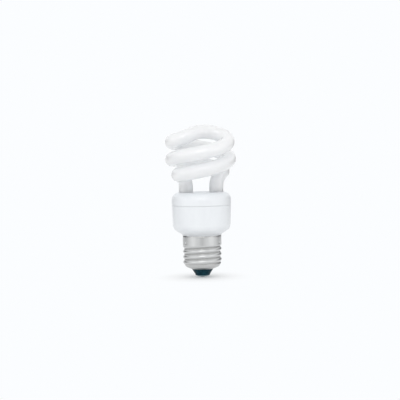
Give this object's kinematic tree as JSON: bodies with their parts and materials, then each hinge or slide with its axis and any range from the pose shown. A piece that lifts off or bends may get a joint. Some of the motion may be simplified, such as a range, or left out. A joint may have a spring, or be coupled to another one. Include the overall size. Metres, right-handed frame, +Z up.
{
  "type": "energy saving bulb",
  "caption": "Spiral compact fluorescent lamp: white glass tube coiled upwards with a bridge on top, white ballast housing and a nickel-plated E27 screw cap.",
  "frame": {"origin": "lowest point of the cap's centre contact, on the lamp's axis", "axes": "+Z up along the lamp's axis from the cap to the tube, -Y towards the camera, +X to its right"},
  "size_m": [0.0482, 0.0492, 0.1037],
  "materials": {
    "phosphor_glass": "phosphor-coated glass, opaque white, glossy outside",
    "white_plastic": "satin white moulded plastic",
    "nickel_plate": "nickel plate",
    "dark_glass": "dark vitrified glass, glossy",
    "tinned_contact": "tinned brass",
    "leg_cement": "matt",
    "copper_wire": "lacquered copper",
    "board_laminate": "paper laminate",
    "ferrite": "matt ferrite",
    "bobbin_plastic": "moulded",
    "black_sleeve": "shrunk sleeve",
    "black_mould": "moulded epoxy",
    "film_dip": "dipped epoxy",
    "resistor_lacquer": "lacquer",
    "wire_insulation": "insulated wire",
    "tinned_pin": "tinned"
  },
  "bodies": {
    "root": {"discharge_tube": "phosphor_glass", "tube_cover": "white_plastic", "ballast_case": "white_plastic", "screw_shell": "nickel_plate", "base_insulator": "dark_glass", "centre_contact": "tinned_contact", "left_leg_cement": "leg_cement", "right_leg_cement": "leg_cement", "left_electrode_leads": "tinned_pin", "right_electrode_leads": "tinned_pin", "circuit_board": "board_laminate", "wire_posts": "tinned_pin", "bulk_capacitor": "black_sleeve", "choke_core": "ferrite", "choke_bobbin": "bobbin_plastic", "choke_winding": "copper_wire", "drive_core": "ferrite", "drive_windings": "copper_wire", "filter_choke": "black_sleeve", "transistors": "black_mould", "rectifier_bridge": "black_mould", "resonance_capacitor": "film_dip", "blocking_capacitor": "film_dip", "start_capacitor": "film_dip", "bias_resistors": "resistor_lacquer", "diac": "resistor_lacquer", "fuse_resistor": "resistor_lacquer", "live_lead": "wire_insulation", "neutral_lead": "wire_insulation"}
  },
  "joints": []
}
